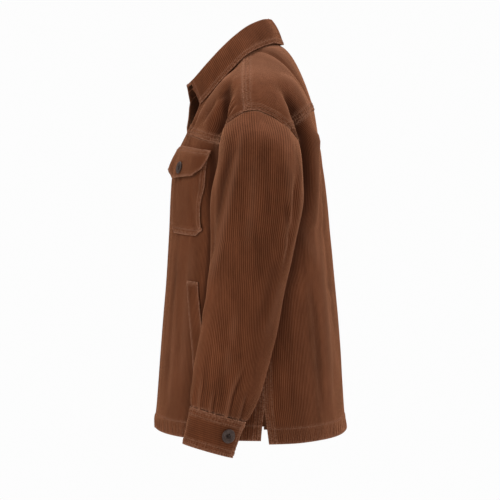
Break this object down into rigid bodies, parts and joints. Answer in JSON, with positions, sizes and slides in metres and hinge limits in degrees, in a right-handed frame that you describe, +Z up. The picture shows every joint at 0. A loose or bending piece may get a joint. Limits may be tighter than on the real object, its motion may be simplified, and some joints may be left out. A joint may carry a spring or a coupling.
{
  "type": "corduroy jacket",
  "caption": "Corduroy overshirt jacket, filled out as worn with nobody in it: fold-down collar, flapped chest pockets, slanted welt pockets, buttoned cuffs, side vents.",
  "frame": {"origin": "middle of the neck base, level with the side neck point, where the garment hangs from the wearer's shoulders", "axes": "+Z up, -Y the way the wearer faces, +X to the wearer's left"},
  "size_m": [0.7128, 0.3249, 0.7268],
  "materials": {
    "corduroy": "brown eight-wale cotton corduroy with a soft cut pile",
    "button": "dark grey-brown, low sheen"
  },
  "bodies": {
    "root": {"back": "corduroy", "yoke": "corduroy", "front_left": "corduroy", "front_right": "corduroy", "front_yoke_left": "corduroy", "front_yoke_right": "corduroy", "placket_left": "corduroy", "placket_right": "corduroy", "collar": "corduroy", "collar_stand": "corduroy", "chest_pocket_left": "corduroy", "chest_pocket_right": "corduroy", "chest_flap_left": "corduroy", "chest_flap_right": "corduroy", "welt_left": "corduroy", "welt_right": "corduroy", "sleeve_left": "corduroy", "sleeve_right": "corduroy", "cuff_left": "corduroy", "cuff_right": "corduroy", "pocket_button_left": "button", "pocket_button_right": "button", "cuff_button_left": "button", "cuff_button_right": "button"}
  },
  "joints": []
}
